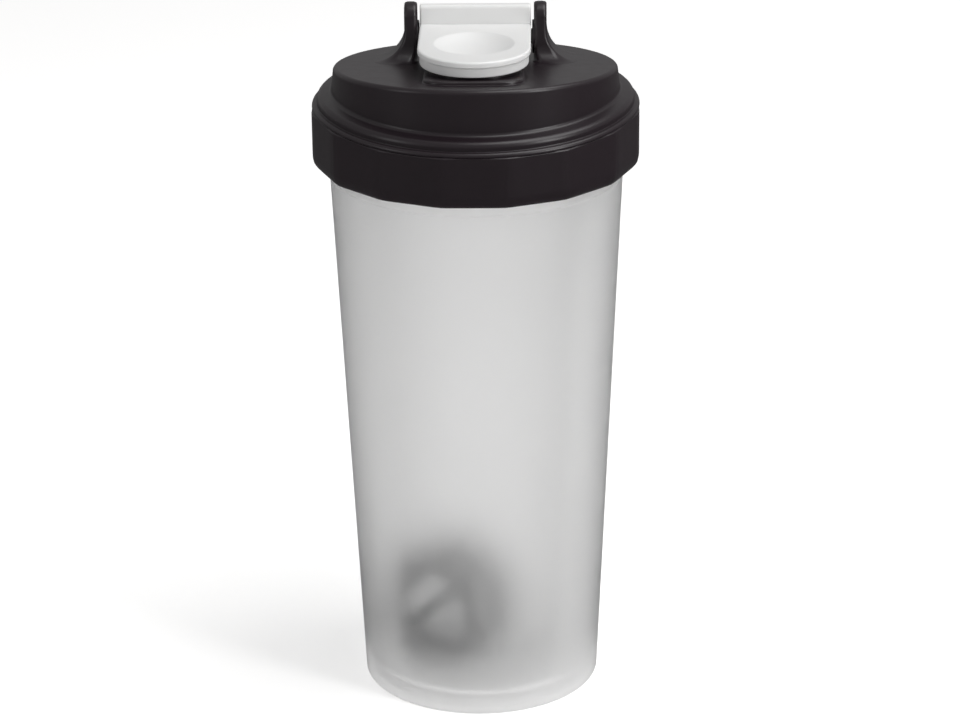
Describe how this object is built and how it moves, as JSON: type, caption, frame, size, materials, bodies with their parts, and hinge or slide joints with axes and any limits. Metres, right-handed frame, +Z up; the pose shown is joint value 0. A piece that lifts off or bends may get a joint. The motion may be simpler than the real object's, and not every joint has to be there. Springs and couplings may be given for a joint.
{
  "type": "protein shaker bottle",
  "caption": "Frosted plastic shaker bottle with a black screw lid, a white flip cap over the spout and a loose lattice mixing ball inside.",
  "frame": {"origin": "centre of the foot, on the surface that the bottle stands on", "axes": "+Z up along the bottle's axis, -Y towards the spout, +X to the right of someone facing the spout side"},
  "size_m": [0.1004, 0.1004, 0.2196],
  "materials": {
    "frosted_plastic": "frosted, half see-through",
    "black_plastic": "satin gloss, black",
    "seal_silicone": "matt translucent grey",
    "white_plastic": "satin, white",
    "ball_plastic": "satin, near black"
  },
  "bodies": {
    "cup": {"cup": "frosted_plastic"},
    "seal": {"seal_ring": "seal_silicone"},
    "lid": {"lid": "black_plastic"},
    "flip_cap": {"flip_cap": "white_plastic"},
    "mixer_ball": {"mixer_ball_upper": "ball_plastic", "mixer_ball_lower": "ball_plastic"}
  },
  "joints": [
    {"name": "lid_turn", "type": "hinge", "parent": "seal", "child": "lid", "pos_m": [0, 0, 0.18], "axis": [0, 0, 1], "range_deg": [0, 450]},
    {"name": "lid_lift", "type": "slide", "parent": "cup", "child": "seal", "axis": [0, 0, 1], "range_m": [0, 0.00625]},
    {"name": "flip_cap_hinge", "type": "hinge", "parent": "lid", "child": "flip_cap", "pos_m": [0, 0.011, 0.2085], "axis": [-1, 0, 0], "range_deg": [0, 120]},
    {"name": "mixer_ball_slide", "type": "slide", "parent": "cup", "child": "mixer_ball", "axis": [0, 0, 1], "range_m": [0, 0.14]}
  ],
  "couplings": [
    {"joint": "lid_lift", "follows": "lid_turn", "m_per_rad": 0.00079577}
  ]
}
